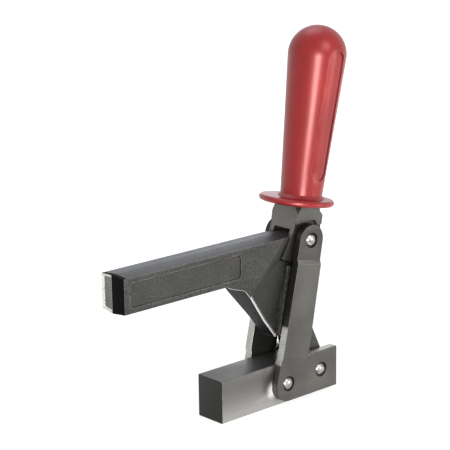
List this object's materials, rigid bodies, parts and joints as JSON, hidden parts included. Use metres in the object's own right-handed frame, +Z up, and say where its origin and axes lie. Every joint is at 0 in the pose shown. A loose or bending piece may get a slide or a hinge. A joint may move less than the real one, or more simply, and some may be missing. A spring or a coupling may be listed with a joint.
{
  "type": "toggle clamp",
  "caption": "Heavy vertical-handle hold-down toggle clamp: forged arm between two riveted side plates on a weldable steel bar, with a red moulded grip and round hand guard.",
  "frame": {"origin": "on the base bar's underside, at the middle of its width, straight below the rear pivot pin", "axes": "+X along the base bar towards the free end of the clamp arm, +Y across the clamp, +Z up"},
  "size_m": [0.2153, 0.0552, 0.2726],
  "materials": {
    "bar_steel": "satin",
    "plate_steel": "satin",
    "forging": "rough",
    "rivet_steel": "polished",
    "bush_bronze": "satin",
    "grip_plastic": "gloss"
  },
  "bodies": {
    "base": {"base_bar": "bar_steel", "side_plate_near": "plate_steel", "side_plate_far": "plate_steel", "front_rivet": "rivet_steel", "rear_pivot_pin": "rivet_steel", "handle_rivet_near": "rivet_steel", "handle_rivet_far": "rivet_steel", "link_washer_near": "rivet_steel", "link_washer_far": "rivet_steel"},
    "lever": {"handle_lever": "plate_steel", "handle_tang": "plate_steel", "handle_bush_near": "bush_bronze", "handle_bush_far": "bush_bronze", "arm_pin": "rivet_steel", "grip": "grip_plastic"},
    "arm": {"clamp_arm": "forging", "arm_bush": "bush_bronze", "link_pin": "rivet_steel"},
    "link": {"rear_link": "forging", "link_bush": "bush_bronze"}
  },
  "joints": [
    {"name": "handle_swing", "type": "hinge", "parent": "base", "child": "lever", "pos_m": [0.0093, 0, 0.1205], "axis": [0, -1, 0], "range_deg": [0, 75]},
    {"name": "arm_swing", "type": "hinge", "parent": "lever", "child": "arm", "pos_m": [0.0062, 0, 0.0968], "axis": [0, -1, 0], "range_deg": [-2.2, 0.1]},
    {"name": "link_swing", "type": "hinge", "parent": "base", "child": "link", "pos_m": [0, 0, 0.0196], "axis": [0, -1, 0], "range_deg": [-2.7, 0.1]}
  ],
  "couplings": [
    {"joint": "arm_swing", "follows": "handle_swing", "ratio": -0.028},
    {"joint": "link_swing", "follows": "handle_swing", "ratio": -0.034}
  ]
}
